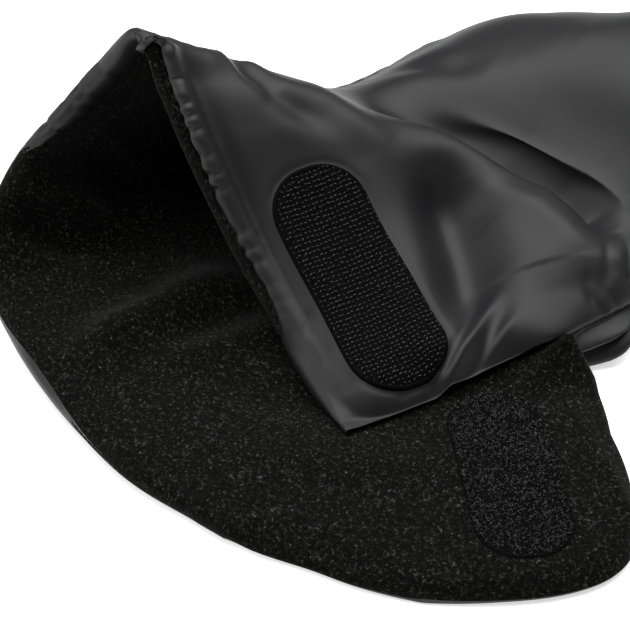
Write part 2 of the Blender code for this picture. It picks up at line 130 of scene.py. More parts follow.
UPPER_RINGS = np.array(UPPER_RING_SHARES) * MUFF_SIZE
LOWER_RINGS = np.array(LOWER_RING_SHARES) * MUFF_SIZE
FLAT_EDGE = np.array(FLAT_EDGE_SHARES) * MUFF_SIZE
FOLD_LINE_X = FLAT_EDGE[0][0] + SLIT_MARGIN
FLAP_NEAR_Y = FLAT_EDGE[0][1] - RIM_ROUND
FLAP_SPAN = FLAT_EDGE[-1][1] + FLAP_FAR_MARGIN - FLAP_NEAR_Y
HINGE_HEIGHT = UPPER_RINGS[0][0][2] - HINGE_DROP
HINGE_PLACE = np.array((FOLD_LINE_X, FLAP_NEAR_Y + FLAP_SPAN / 2, HINGE_HEIGHT))
OFFSET = np.array(frame["joints"][0]["pos_m"]) - HINGE_PLACE

# Camera of the photograph, fitted to the muff: where it stands and its view direction
CAMERA_PLACE = Vector((0.532, -0.274, 0.5142)) + Vector(OFFSET)
VIEW_DIRECTION = Vector((-0.6634, 0.3830, -0.6428))
TO_VIEWER = -np.array(VIEW_DIRECTION)
LENS_MM = 108.9
SENSOR_MM = 36.0

MM, CM = 0.001, 0.01
UP = np.array((0.0, 0.0, 1.0))


# Curves and skins

def smooth_step(share):
    share = np.clip(share, 0.0, 1.0)
    return share * share * (3 - 2 * share)


def past(distance, start, reach):
    """0 up to a start, 1 from its reach on, and smooth between them."""
    return smooth_step((distance - start) / reach)


def bell(distance, width):
    return np.exp(-(distance / width) ** 2)


def unit(vectors):
    return vectors / np.maximum(np.linalg.norm(vectors, axis=-1, keepdims=True), 1e-12)


def curve_points(points, places):
    """Points at the places of the smooth curve through points[1:-1]."""
    places = np.atleast_1d(places).astype(float)
    span = np.clip(places.astype(int), 0, len(points) - 4)
    t = (places - span).reshape((-1,) + (1,) * (points.ndim - 1))
    before, start, end, after = (points[span + k] for k in range(4))
    return (start + (end - before) * t / 2
            + (2 * before - 5 * start + 4 * end - after) * t ** 2 / 2
            + (3 * start - before - 3 * end + after) * t ** 3 / 2)


def open_curve(points):
    points = np.asarray(points, float)
    return np.concatenate(([2 * points[0] - points[1]], points, [2 * points[-1] - points[-2]]))


def ring_at(rings, other_rings, v):
    before = 2 * rings[0] - rings[1]
    after = other_rings[-2][::-1]
    return curve_points(np.concatenate(([before], rings, [after])), v * STATION_SPANS)[0]


def cross_fold(u, v):
    place = curve_points(open_curve(FOLD_PLACE_SHARES), u * (len(FOLD_PLACE_SHARES) - 1))
    across = (v * STATION_SPANS - place) / FOLD_SPAN_SHARE
    return FOLD_DEPTH * np.exp(-across * across) * smooth_step(3 * u) * smooth_step(3 * (1 - u))


def flatness(v):
    """1 where the lower panel lies open beside the slit, 0 where it is sewn to the upper one."""
    return 1 - smooth_step((v - SLIT_END_SHARE + 0.062) / 0.070)


def upper_row(v, us):
    """Outside of the upper panel at v: u runs from the slit side to the far seam."""
    ring = ring_at(UPPER_RINGS, LOWER_RINGS, v)
    lower = ring_at(LOWER_RINGS, UPPER_RINGS, v)
    lift = smooth_step((SLIT_END_SHARE - v) / LIFT_SHARE)
    before = lower[-2] * (1 - lift) + (2 * ring[0] - ring[1]) * lift
    row = curve_points(np.concatenate(([before], ring, [lower[1]])), us * RING_SPANS)
    row[:, 2] -= cross_fold(us, v)
    return row


def lower_row(v, us):
    """Outside of the lower panel at v: u runs from the far seam, under, to the slit side."""
    ring = ring_at(LOWER_RINGS, UPPER_RINGS, v)
    upper = ring_at(UPPER_RINGS, LOWER_RINGS, v)
    flat = flatness(v)
    edge = curve_points(open_curve(FLAT_EDGE), min(v * STATION_SPANS, len(FLAT_EDGE) - 1.0))[0]
    slit_side = upper[0] * (1 - flat) + edge * flat
    after = upper[1] * (1 - flat) + (2 * edge - ring[-2]) * flat
    points = np.concatenate(([upper[-2]], ring[:-1], [slit_side], [after]))
    row = curve_points(points, us * RING_SPANS)
    row[:, 2] = np.maximum(row[:, 2], 0.0)
    return row


def flap_outline(places):
    size = np.array((FLAP_REACH, FLAP_SPAN))
    return curve_points(open_curve(FLAP_OUTLINE_SHARES), places) * size


def flap_points(s, t):
    """Flat points of the flap: s from the fold line out, t from the near to the far side."""
    last = len(FLAP_OUTLINE_SHARES) - 1
    s, t = s.reshape(-1, 1), t.reshape(-1, 1)
    near_side = flap_outline(s[:, 0] * FLAP_NEAR_CORNER)
    far_side = flap_outline(last - s[:, 0] * (last - FLAP_FAR_CORNER))
    end = flap_outline(FLAP_NEAR_CORNER + t[:, 0] * (FLAP_FAR_CORNER - FLAP_NEAR_CORNER))
    fold = flap_outline(0) * (1 - t) + flap_outline(last) * t
    end_chord = flap_outline(FLAP_NEAR_CORNER) * (1 - t) + flap_outline(FLAP_FAR_CORNER) * t
    flat = near_side * (1 - t) + far_side * t + fold * (1 - s) + end * s
    flat -= fold * (1 - s) + end_chord * s
    return flat + np.array((FOLD_LINE_X, FLAP_NEAR_Y))


# Mesh helpers

def grid_normals(points):
    """Unit normals of a grid of points, rows along v and columns along u."""
    return unit(np.cross(np.gradient(points, axis=0), np.gradient(points, axis=1)))


def walked(points, axis):
    """Distance walked along a grid from its first row (axis 0) or column (axis 1)."""
    steps = np.linalg.norm(np.diff(points, axis=axis), axis=2)
    return np.insert(np.cumsum(steps, axis=axis), 0, 0.0, axis=axis)


def resample(grid, rows, columns):
    """Values of a grid at fractional rows and columns."""
    rows, columns = np.broadcast_arrays(rows, columns)
    row = np.clip(np.floor(rows).astype(int), 0, grid.shape[0] - 2)
    column = np.clip(np.floor(columns).astype(int), 0, grid.shape[1] - 2)
    down, over = (rows - row)[..., None], (columns - column)[..., None]
    return ((grid[row, column] * (1 - over) + grid[row, column + 1] * over) * (1 - down)
            + (grid[row + 1, column] * (1 - over) + grid[row + 1, column + 1] * over) * down)


def mesh_object(name, bm, material):
    mesh = bpy.data.meshes.new(name)
    bm.to_mesh(mesh)
    bm.free()
    mesh.materials.append(material)
    mesh.shade_smooth()
    piece = bpy.data.objects.new(name, mesh)
    bpy.context.scene.collection.objects.link(piece)
    return piece


def grid_piece(name, material, points, across, down, keep=None, flip=False):
    """A piece of cloth over a grid of points, at the muff's place, with its flat coordinates."""
    rows, columns = points.shape[:2]
    bm = bmesh.new()
    layer = bm.loops.layers.uv.verify()
    made = bmesh.ops.create_grid(bm, x_segments=columns - 1, y_segments=rows - 1, size=0.5)
    place = {}
    for vert in made["verts"]:
        row = round((vert.co.y + 0.5) * (rows - 1))
        column = round((vert.co.x + 0.5) * (columns - 1))
        place[vert] = (row, column)
        vert.co = points[row, column] + OFFSET
    faces = list({face for vert in made["verts"] for face in vert.link_faces})
    faces.sort(key=lambda face: min(place[vert] for vert in face.verts))
    if keep is not None:
        gone = [face for face in faces if not all(keep[place[vert]] for vert in face.verts)]
        faces = [face for face in faces if all(keep[place[vert]] for vert in face.verts)]
        bmesh.ops.delete(bm, geom=gone, context="FACES")
    for face in faces:
        for loop in face.loops:
            loop[layer].uv = across[place[loop.vert]], down[place[loop.vert]]
    if flip:
        bmesh.ops.reverse_faces(bm, faces=faces)
    return mesh_object(name, bm, material)


def wave(points, size, seed):
    """Smooth random waves from about -1 to 1 at flat points, of the given size in metres."""
    flat, layer, octaves = points.reshape(-1, 2) / size, seed * 7.3, 2
    values = [noise.fractal(Vector((x, y, layer)), 1.0, 2.0, octaves) for x, y in flat]
    return np.array(values).reshape(points.shape[:-1])


def folds(flat, table):
    """Heights of folds drawn on flat cloth.

    Each fold is its height and half width in millimetres, and the points that it runs through
    in centimetres across and along the cloth. It fades out at both ends.
    """
    height = np.zeros(flat.shape[:2])
    fade_share = 0.35
    for rise, width, line in table:
        corners = np.array(line) * CM
        lengths = np.linalg.norm(np.diff(corners, axis=0), axis=1)
        total, before = lengths.sum(), 0.0
        nearest = np.full(flat.shape[:2], np.inf)
        place = np.zeros(flat.shape[:2])
        for start, end, length in zip(corners[:-1], corners[1:], lengths):
            share = np.clip(((flat - start) @ (end - start)) / length ** 2, 0, 1)
            distance = np.linalg.norm(flat - start - share[..., None] * (end - start), axis=2)
            closer = distance < nearest
            nearest = np.where(closer, distance, nearest)
            place = np.where(closer, (before + share * length) / total, place)
            before += length
        fade = smooth_step(place / fade_share) * smooth_step((1 - place) / fade_share)
        height += rise * MM * bell(nearest, width * MM) * fade
    return height


# Materials

def linear(hex_colour):
    """A Blender colour from an sRGB hex value."""
    parts = [int(hex_colour[k:k + 2], 16) / 255 for k in (1, 3, 5)]
    return (*(c / 12.92 if c <= 0.04045 else ((c + 0.055) / 1.055) ** 2.4 for c in parts), 1.0)


def add_node(tree, kind, settings=(), links=()):
    """Adds a node: settings are attributes or input values, links are (input, socket)."""
    node = tree.nodes.new(kind)
    for name, value in dict(settings).items():
        if isinstance(name, int) or name in node.inputs:
            node.inputs[name].default_value = value
        else:
            setattr(node, name, value)
    for name, socket in dict(links).items():
        tree.links.new(socket, node.inputs[name])
    return node


def new_material(name, roughness, specular=0.5, sheen=0.0):
    material = bpy.data.materials.new(name)
    material.use_nodes = True
    tree = material.node_tree
    shader = tree.nodes["Principled BSDF"]
    shader.inputs["Roughness"].default_value = roughness
    shader.inputs["Specular IOR Level"].default_value = specular
    shader.inputs["Sheen Weight"].default_value = sheen
    return material, tree, shader


def colour_ramp(tree, factor, *stops):
    """Colours at places from 0 to 1 along a factor."""
    ramp = add_node(tree, "ShaderNodeValToRGB", links={"Fac": factor})
    elements = ramp.color_ramp.elements
    while len(elements) < len(stops):
        elements.new(0.5)
    for element, (place, colour) in zip(elements, stops):
        element.position = place
        element.color = linear(colour)
    return ramp.outputs["Color"]


def nylon_material():
    """Satin nylon, woven fine and lightly calendered: an even cloth with soft broad highlights.

    Its twill isn't drawn.
    """
    material, _, shader = new_material("satin_nylon_twill", 0.50, 0.34)
    shader.inputs["Base Color"].default_value = linear("#171719")
    return material


def fleece_material():
    """Polyester fleece, brushed to a short pile that pills into small matt grains."""
    material, tree, shader = new_material("polyester_fleece", 0.95, 0.05, sheen=0.05)
    place = add_node(tree, "ShaderNodeTexCoord").outputs["Object"]
    # The pills lie 1.6 mm apart, the tips of the fibres that stand out of them 0.6 mm
    pills = add_node(tree, "ShaderNodeTexNoise",
                     {"Scale": 620.0, "Detail": 4.0, "Roughness": 0.75}, {"Vector": place})
    fibres = add_node(tree, "ShaderNodeTexVoronoi", {"Scale": 1700.0}, {"Vector": place})
    tuft = add_node(tree, "ShaderNodeMath", {"operation": "MULTIPLY_ADD", 1: -0.22},
                    {0: fibres.outputs["Distance"], 2: pills.outputs["Fac"]})
    tree.links.new(colour_ramp(tree, tuft.outputs["Value"], (0.34, "#020202"), (0.44, "#0d0d0c"),
                               (0.52, "#22221f"), (0.61, "#525149")),
                   shader.inputs["Base Color"])
    bump = add_node(tree, "ShaderNodeBump", {"Strength": 0.5, "Distance": 0.0005},
                    {"Height": tuft.outputs["Value"]})
    tree.links.new(bump.outputs["Normal"], shader.inputs["Normal"])
    return material


def tape_material(name, low, high, scale, roughness, specular):
    """Woven nylon tape, or the plastic hooks and brushed loops set in it.

    Its grain is 0.9 to 1.4 mm, a few threads together, since one thread is too fine to show.
    """
    material, tree, shader = new_material(name, roughness, specular)
    place = add_node(tree, "ShaderNodeTexCoord").outputs["Object"]
    grain = add_node(tree, "ShaderNodeTexNoise", {"Scale": scale, "Detail": 2.0},
                     {"Vector": place})
    tree.links.new(colour_ramp(tree, grain.outputs["Fac"], (0.35, low), (0.65, high)),
                   shader.inputs["Base Color"])
    return material


NYLON = nylon_material()
FLEECE = fleece_material()
HOOK_TAPE = tape_material("woven_nylon_tape", "#020202", "#080808", 900.0, 0.8, 0.05)
HOOKS = tape_material("nylon_monofilament", "#161616", "#585856", 700.0, 0.30, 0.6)
LOOP_TAPE = tape_material("brushed_nylon_tape", "#020202", "#0c0c0c", 1100.0, 0.9, 0.05)
LOOPS = tape_material("textured_nylon_yarn", "#101010", "#4a4a4a", 700.0, 0.45, 0.4)


# Panels

EDGE_ROUND = 0.0043
EDGE_ROWS = 7
PANEL_WIDTH = 0.21
ROOT_COLUMNS = 8
HEM_ROWS = 10
TURN_ROW = 16
HEM_OVERLAP_ROWS = 1.5
HEM_GAP = 0.0006
HEM_WIDTH = 0.0115
HEM_CREASES = (0.0285, 0.0440, 0.0520, 0.0675)
STRIP_WIDTH, CORNER_TURN_IN, APEX_TURN_IN = 0.0062, 0.0022, 0.0130
NICK_PLACE = 0.162
FEATHER_SHARE = 0.10
# How the open flap's corners and end lie off its plain cut, and the lower rim off its plain
# line: the place across and half width of a move, and the move
FLAP_CORNER_REACH = 0.012
FLAP_NEAR_MOVE = 0.0034
FLAP_FAR_MOVE = 0.0045
FLAP_END_MOVE = 0.0042
LOWER_RIM_REACH = 0.045
LOWER_RIM_MOVES = ((0.215, 0.055, (0.0, 0.0030, 0.0038)), (0.078, 0.022, (0.0035, 0.0, 0.0)))
# The groove of a sewn seam and the wrinkles that run off it
SEAM_DEPTH, SEAM_WIDTH = 0.0016, 0.0022
PUCKER_HEIGHT, PUCKER_SIZE, PUCKER_PLACE, PUCKER_REACH = 0.0006, 0.0055, 0.004, 0.010
SLACK_HEIGHT = 0.0004
# Rolls of gathered cloth under the slit's end: height, place and half width in mm
GATHERED_ROLLS = ((4.8, 4.8, 1.9), (-4.8, 9.0, 1.5), (6.6, 12.8, 2.0), (-4.8, 17.2, 1.6))


def spaced(start, end, step):
    """Evenly spaced places from start to end, without the first."""
    return np.linspace(start, end, max(round((end - start) / step), 1) + 1)[1:]


def edge_places():
    """Places close together where cloth turns round an open edge."""
    turn = np.linspace(0, math.pi / 2, EDGE_ROWS + 1)
    return EDGE_ROUND * (1 - np.cos(turn))


def between_edges(start, end, step):
    """Places from an open edge at start to another at end, close together at both."""
    inner = spaced(start + EDGE_ROUND, end - EDGE_ROUND, step)
    return np.concatenate((start + edge_places(), inner, (end - edge_places())[-2::-1]))


def round_edge(distance):
    """How full the padding is at a distance from an open edge: 0 at the edge, 1 past its round."""
    return np.sqrt(1 - (1 - np.clip(distance / EDGE_ROUND, 0, 1)) ** 2)


MOUTH_V = -RIM_ROUND / MUFF_SIZE[1]
SLIT_PLACE = (SLIT_END_SHARE - MOUTH_V) * MUFF_SIZE[1]
LENGTH = (1 - MOUTH_V) * MUFF_SIZE[1]
ROW_PLACES = np.concatenate((between_edges(0.0, SLIT_PLACE, 0.0013),
                             spaced(SLIT_PLACE, LENGTH - 0.012, 0.0016),
                             spaced(LENGTH - 0.012, LENGTH, 0.0010)))
V = MOUTH_V + ROW_PLACES / MUFF_SIZE[1]
SLIT_ROWS = int(np.sum(ROW_PLACES <= SLIT_PLACE + 1e-9))
UPPER_U = np.concatenate((edge_places(), spaced(EDGE_ROUND, 0.202, 0.0012),
                          spaced(0.202, PANEL_WIDTH, 0.0008))) / PANEL_WIDTH
LOWER_U = np.concatenate(([0.0], spaced(0.0, 0.008, 0.0008), spaced(0.008, 0.188, 0.0017),
                          spaced(0.188, PANEL_WIDTH, 0.0006))) / PANEL_WIDTH
UPPER = np.array([upper_row(v, UPPER_U) for v in V])
LOWER = np.array([lower_row(v, LOWER_U) for v in V])


def panel_normals():
    """Normals of both panels, made one along the seams that join them."""
    upper, lower = grid_normals(UPPER), grid_normals(LOWER)
    # Outwards is up on the upper panel and down on the lower one
    upper *= np.sign(upper[60, 60] @ np.array((0.3, 0, 1)))
    lower *= np.sign(lower[60, 100] @ -UP)

    def joined(normals, seam, from_seam, closed=1.0):
        feather = smooth_step(1 - from_seam / FEATHER_SHARE)[None, :, None] * closed
        return normals * (1 - feather) + seam[:, None] * feather

    far = unit(upper[:, -1] + lower[:, 0])
    upper, lower = joined(upper, far, 1 - UPPER_U), joined(lower, far, LOWER_U)
    slit = unit(upper[:, 0] + lower[:, -1])
    closed = smooth_step((V - SEAM_START_SHARE + 0.05) / 0.05)[:, None, None]
    upper, lower = joined(upper, slit, UPPER_U, closed), joined(lower, slit, 1 - LOWER_U, closed)
    return unit(upper), unit(lower)


UPPER_N, LOWER_N = panel_normals()
FROM_SLIT, FROM_RIM = walked(UPPER, 1), walked(UPPER, 0)
UPPER_FLAT = np.stack((FROM_SLIT, FROM_RIM), axis=2)
OPEN_SLIT = 1 - past(V, SLIT_END_SHARE, 0.035)[:, None]


def pinch_shares(from_far, open_slit):
    """How far a panel is pinched towards its sewn edges, from 0 to 1."""
    near_far = 1 - smooth_step(from_far / PINCH_SHARE)[None, :]
    near_slit = (1 - smooth_step((1 - from_far) / PINCH_SHARE))[None, :]
    if open_slit:
        sewn = smooth_step((V - SLIT_END_SHARE + LIFT_SHARE) / LIFT_SHARE)[:, None]
        near_slit = near_slit * sewn
    near_tip = 1 - smooth_step((1 - V) / PINCH_SHARE)[:, None]
    return np.maximum(np.maximum(near_far, near_slit), near_tip)


def flap_grid():
    """The root and the flap past the lower panel's slit side, and how far each is pinched."""
    start = LOWER[:SLIT_ROWS, -1]
    t = (start[:, 1] - start[0, 1]) / (start[-1, 1] - start[0, 1])
    fold = flap_points(np.zeros(len(t)), t)
    fold = np.column_stack((fold, np.zeros(len(t))))
    far_side = past(t, 0.70, 0.30)
    near_corner = bell(t * FLAP_SPAN, FLAP_CORNER_REACH)
    fold[:, 1] += FLAP_NEAR_MOVE * near_corner + FLAP_FAR_MOVE * far_side
    shares = np.linspace(0, 1, ROOT_COLUMNS + 1)[1:, None]
    root = start[:, None] + (fold - start)[:, None] * shares[None]
    end_places = FLAP_REACH - edge_places()[::-1]
    s = np.concatenate((spaced(0, FLAP_REACH - EDGE_ROUND, 0.0015), end_places[1:])) / FLAP_REACH
    flap = np.array([flap_points(s, np.full(len(s), place)) for place in t])
    flap = np.concatenate((flap, np.zeros(flap.shape[:2] + (1,))), axis=2)
    near_corner = near_corner[:, None] * bell(s * FLAP_REACH, FLAP_CORNER_REACH)
    flap[..., 1] += FLAP_NEAR_MOVE * near_corner
    flap[..., 0] += FLAP_END_MOVE * bell(t - 0.58, 0.30)[:, None] * smooth_step(s / 0.6)
    flap[..., 1] += far_side[:, None] * np.maximum(FLAP_FAR_MOVE - 0.020 * s, -0.004)
    near_end = 1 - smooth_step((1 - s) / PINCH_SHARE)[None, :]
    near_side = 1 - smooth_step(np.minimum(t, 1 - t) / PINCH_SHARE)[:, None]
    pinch = np.maximum(near_end, near_side * smooth_step(s / PINCH_SHARE)[None, :])
    return np.concatenate((root, flap), axis=1), np.pad(pinch, ((0, 0), (ROOT_COLUMNS, 0)))


def lower_with_flap():
    """The lower panel with its flap: points, normals, walls, edge rounds and which exist."""
    extra, extra_pinch = flap_grid()
    lower = LOWER.copy()
    across, along = LOWER_U[None, :] * PANEL_WIDTH * 1.5, ROW_PLACES[:, None]
    near_rim = 1 - smooth_step(along / LOWER_RIM_REACH)
    for place, width, move in LOWER_RIM_MOVES:
        lower += (bell(across - place, width) * near_rim)[..., None] * np.array(move)
    missing = len(V) - SLIT_ROWS
    extra = np.concatenate((extra, np.repeat(extra[-1:], missing, axis=0)))
    extra_pinch = np.pad(extra_pinch, ((0, missing), (0, 0)), mode="edge")
    points = np.concatenate((lower, extra), axis=1)
    normals = np.concatenate((LOWER_N, np.broadcast_to(-UP, extra.shape)), axis=1)
    pinch = np.concatenate((pinch_shares(LOWER_U, True), extra_pinch), axis=1)
    keep = np.ones(points.shape[:2], bool)
    keep[SLIT_ROWS:, len(LOWER_U):] = False

    from_mouth = walked(points, 0)
    to_slit_end = from_mouth[SLIT_ROWS - 1] - from_mouth
    to_slit_side = (1 - LOWER_U) * PANEL_WIDTH
    inside = np.concatenate((to_slit_side, np.zeros(extra.shape[1])))[None, :]
    corner = np.hypot(inside, np.maximum(to_slit_end, 0))
    side_open = np.concatenate((np.repeat(OPEN_SLIT, len(LOWER_U), axis=1),
                                np.ones(extra.shape[:2])), axis=1)
    rounds = round_edge(from_mouth) * (1 - side_open * (1 - round_edge(corner)))
    walked_across = walked(points, 1)
    to_end = walked_across[:, -1:] - walked_across
    to_end[SLIT_ROWS:] = 1.0
    rounds = rounds * np.where(keep, round_edge(to_end), 1.0)
    return points, normals, WALL - PINCH_DEPTH * pinch, rounds, keep


LOWER_ALL, LOWER_ALL_N, LOWER_WALL, LOWER_ROUND, LOWER_KEEP = lower_with_flap()
LOWER_FLAT = np.stack((walked(LOWER_ALL, 1), walked(LOWER_ALL, 0)), axis=2)
UPPER_WALL = WALL - PINCH_DEPTH * pinch_shares(1 - UPPER_U, False)
UPPER_ROUND = round_edge(FROM_RIM) * (1 - OPEN_SLIT * (1 - round_edge(FROM_SLIT)))


def both_sides(points, normals, walls, rounds):
    """Outside and inside of a padded panel, which meet in a round edge where it is open."""
    half = walls / 2
    outside = points - normals * (half * (1 - rounds))[..., None]
    inside = points - normals * (walls - half * (1 - rounds))[..., None]
    return outside, inside


def row_of(distance):
    return np.interp(distance, ROW_PLACES, np.arange(len(ROW_PLACES)))


def round_the_rim(outside, inside, edge, side):
    """Cloth from its edge, round the mouth's rim, on to the tip: on the outside 1, or inside -1.

    Rows count from the rim, above 0 outside and below 0 inside. The edge gives each column's.
    """
    first, last = side * TURN_ROW, side * (len(V) - 1)
    shares = np.linspace(0, 1, HEM_ROWS + 1)[:, None]
    start = edge[None, :] + (first - edge)[None, :] * shares
    rest = np.arange(first + side, last + side, side)[:, None]
    rows = np.concatenate((start, np.broadcast_to(rest, (len(rest), len(edge)))))
    columns = np.arange(outside.shape[1])[None, :]
    out = resample(outside, np.maximum(rows, 0), columns)
    back = resample(inside, np.maximum(-rows, 0), columns)
    return np.where((rows >= 0)[..., None], out, back)


# Folds drawn on the flat cloth, in the units that folds() takes
UPPER_BODY_FOLDS = (
    (8.5, 10, ((18.7, 0.0), (18.1, 1.5), (17.5, 3.0), (17.0, 4.4))),
    (4.2, 9, ((17.6, 2.6), (17.1, 4.2), (16.5, 6.2))),
    (-3.2, 7, ((18.4, 4.6), (16.4, 4.3), (14.4, 4.6), (12.9, 5.8), (11.6, 7.2))),
    (2.0, 9, ((15.6, 6.6), (13.2, 7.4), (10.8, 8.0), (9.4, 8.8))),
    (-13.5, 13, ((10.6, 10.2), (8.8, 9.8), (7.2, 9.4), (5.6, 8.8), (4.0, 8.1), (2.6, 7.4),
                 (1.0, 6.6))),
    (4.4, 22, ((8.2, 12.0), (6.4, 12.3), (4.6, 12.4), (3.0, 12.2), (1.6, 11.6))),
    (-2.2, 3.2, ((3.6, 8.7), (2.4, 7.2), (1.2, 5.4), (0.4, 4.2), (-0.4, 3.2))),
    (2.6, 3.4, ((3.6, 9.5), (2.5, 7.8), (1.3, 6.0), (0.5, 4.9), (-0.4, 3.7))),
    (-2.0, 4.0, ((3.0, 9.9), (1.9, 8.2), (0.9, 6.8), (0.1, 5.6), (-0.4, 4.8))),
    (1.0, 2.4, ((1.9, 9.1), (1.2, 7.9), (0.5, 6.9), (-0.2, 6.0))),
    (-16.0, 9, ((14.0, 11.7), (12.2, 12.4), (10.4, 13.2), (8.6, 14.2), (6.8, 15.0), (5.2, 15.1),
                (3.8, 14.7), (2.4, 14.0))),
    (3.5, 7, ((14.0, 13.2), (12.4, 13.9), (10.6, 14.6), (8.6, 15.5), (6.6, 16.2), (4.6, 16.1),
              (2.8, 15.3), (1.8, 14.6))),
    (7.0, 19, ((14.4, 14.2), (12.8, 14.8), (10.8, 15.4), (8.8, 16.1), (6.8, 16.7), (4.8, 16.8),
               (3.0, 16.0), (1.8, 15.2))),
    (1.8, 7, ((9.6, 10.9), (8.0, 11.5), (5.8, 12.4), (3.4, 12.8), (1.6, 12.8))),
    (-2.2, 9, ((17.4, 14.2), (15.2, 15.4), (13.4, 16.9))),
    (2.2, 12, ((20.6, 16.4), (19.8, 17.4), (18.6, 18.8))),
    (-6.5, 42, ((21.0, 20.5), (19.0, 23.0), (16.5, 26.0), (12.5, 27.5))),
)
UPPER_NYLON_FOLDS = (
    (-2.4, 4.5, ((18.6, 1.4), (14.6, 1.5), (11.6, 1.5), (8.4, 1.4), (5.0, 1.3), (0.2, 1.4))),
    (-0.8, 2.2, ((5.9, 1.9), (5.0, 1.2), (4.3, 0.6))),
    (-0.7, 2.0, ((4.2, 1.9), (3.5, 1.3), (2.9, 0.6))),
    (-0.6, 2.2, ((2.6, 1.7), (2.0, 1.3), (1.5, 0.7))),
    (-0.9, 2.4, ((1.8, 3.4), (1.0, 3.0), (0.3, 2.7))),
    (-0.7, 2.0, ((3.4, 14.4), (2.2, 13.5), (1.0, 12.7))),
    (-0.8, 2.0, ((2.6, 15.0), (1.7, 14.3), (0.8, 13.7))),
    (-0.6, 1.8, ((2.4, 12.6), (1.5, 12.2), (0.5, 11.9))),
    (-0.8, 2.5, ((3.9, 15.7), (2.6, 15.0), (1.0, 14.4))),
    (0.7, 2.5, ((17.6, 3.6), (16.4, 3.5), (15.3, 3.5))),
    (-1.0, 1.6, ((0.1, 12.6), (0.9, 12.2), (1.7, 12.1))),
    (-0.8, 1.4, ((0.1, 13.4), (0.7, 13.1), (1.3, 13.1))),
    (-0.9, 1.6, ((0.1, 14.3), (0.9, 14.1), (1.8, 14.2))),
    (0.6, 1.8, ((0.2, 13.9), (1.0, 13.6), (1.9, 13.7))),
    (-0.8, 1.5, ((0.1, 15.2), (0.8, 15.3), (1.5, 15.6))),
)
LOWER_LINING_FOLDS = (
    (9.0, 10, ((21.6, 0.4), (20.4, 2.5), (19.1, 4.1), (17.8, 6.5), (15.8, 8.7), (14.0, 10.9))),
    (-2.2, 7, ((20.4, 5.2), (18.9, 7.6), (17.4, 9.7), (16.2, 11.4))),
    (3.6, 9, ((22.0, 3.6), (21.2, 6.2), (19.9, 9.3), (18.4, 12.2))),
    (7.5, 9, ((9.8, -0.6), (10.0, 1.6), (10.6, 3.5), (11.4, 5.2), (12.2, 7.0))),
    (-4.0, 8, ((12.0, -0.4), (12.2, 1.8), (12.9, 3.7), (13.8, 5.6))),
    (-2.6, 5, ((7.6, 1.8), (8.4, 4.4), (9.3, 6.6), (10.3, 8.6))),
    (2.4, 6, ((5.8, 2.6), (7.0, 5.0), (8.2, 7.6))),
    (-1.6, 12, ((24.0, 5.2), (25.2, 8.0), (26.0, 11.0))),
    (1.2, 14, ((27.0, 3.0), (29.5, 6.0), (31.5, 9.0))),
)


def scallops(across):
    """Uneven lobes of the gathered edge, about 4.6 mm long: 1 in a lobe, 0 at a crease."""
    phase = across / 0.0046 + 0.8 * np.sin(across / 0.011) + 0.6 * np.sin(across / 0.0047)
    return np.abs(np.sin(phase * math.pi / 2))


def seam_puckers(along, from_seam, seed):
    """Small wrinkles that run off a sewn seam, and the groove of the seam itself."""
    wrinkles = wave(np.stack((along, from_seam * 0.35), axis=-1), PUCKER_SIZE, seed)
    return (PUCKER_HEIGHT * wrinkles * bell(from_seam - PUCKER_PLACE, PUCKER_REACH)
            - SEAM_DEPTH * bell(from_seam, SEAM_WIDTH))


def edge_distance(along, across, length, width):
    """Distance inside the edge of a round-ended patch, below 0 outside it."""
    radius = width / 2 * PATCH_CORNER_SHARE
    x = np.abs(along) - (length / 2 - radius)
    y = np.abs(across) - (width / 2 - radius)
    outside = np.hypot(np.maximum(x, 0), np.maximum(y, 0))
    return radius - outside - np.minimum(np.maximum(x, y), 0)


def hook_place(flat):
    """Along and across the hook patch, at flat places of the upper panel."""
    along = flat[..., 0] - HOOK_EDGE_DISTANCE - HOOK_LENGTH / 2
    return along, flat[..., 1] - HOOK_MOUTH_DISTANCE - RIM_ROUND - HOOK_SLANT_SHARE * along


def upper_heights():
    """Heights of the upper panel's nylon above its plain shape."""
    height = folds(UPPER_FLAT, UPPER_NYLON_FOLDS)
    height += seam_puckers(FROM_RIM, FROM_SLIT[:, -1:] - FROM_SLIT, 1)
    height += seam_puckers(FROM_RIM, FROM_SLIT, 2) * (1 - OPEN_SLIT)
    height += seam_puckers(FROM_SLIT, FROM_RIM[-1:] - FROM_RIM, 3)
    height += SLACK_HEIGHT * wave(UPPER_FLAT, 0.040, 4)
    # Under the hook patch the cloth lies flat, and round it the patch's sewing draws it down
    inside = edge_distance(*hook_place(UPPER_FLAT), HOOK_LENGTH, HOOK_WIDTH)
    return height * (1 - smooth_step(inside / 0.004 + 1)) - 0.0005 * bell(inside + 0.001, 0.0016)


# The folds of the padded body fade out towards its seams
BODY = folds(UPPER_FLAT, UPPER_BODY_FOLDS)
for to_seam in (FROM_SLIT[:, -1:] - FROM_SLIT, FROM_RIM[-1:] - FROM_RIM):
    BODY *= smooth_step(to_seam / 0.020)
BODY *= 1 - smooth_step((V[:, None] - SLIT_END_SHARE + 0.05) / 0.07) * (
    1 - smooth_step(FROM_SLIT / 0.016))
SLIT_LIFT = (0.0035 * past(FROM_RIM, 0.040, 0.008) * smooth_step((0.105 - FROM_RIM) / 0.025)
             * bell(FROM_SLIT, 0.030))
UPPER_SHAPE = UPPER + UPPER_N * BODY[..., None] + SLIT_LIFT[..., None] * UP


def rolled(distance, reach):
    """1 at an edge that rolls under, falling to 0 at its reach."""
    return np.clip(1 - distance / reach, 0, 1) ** 2


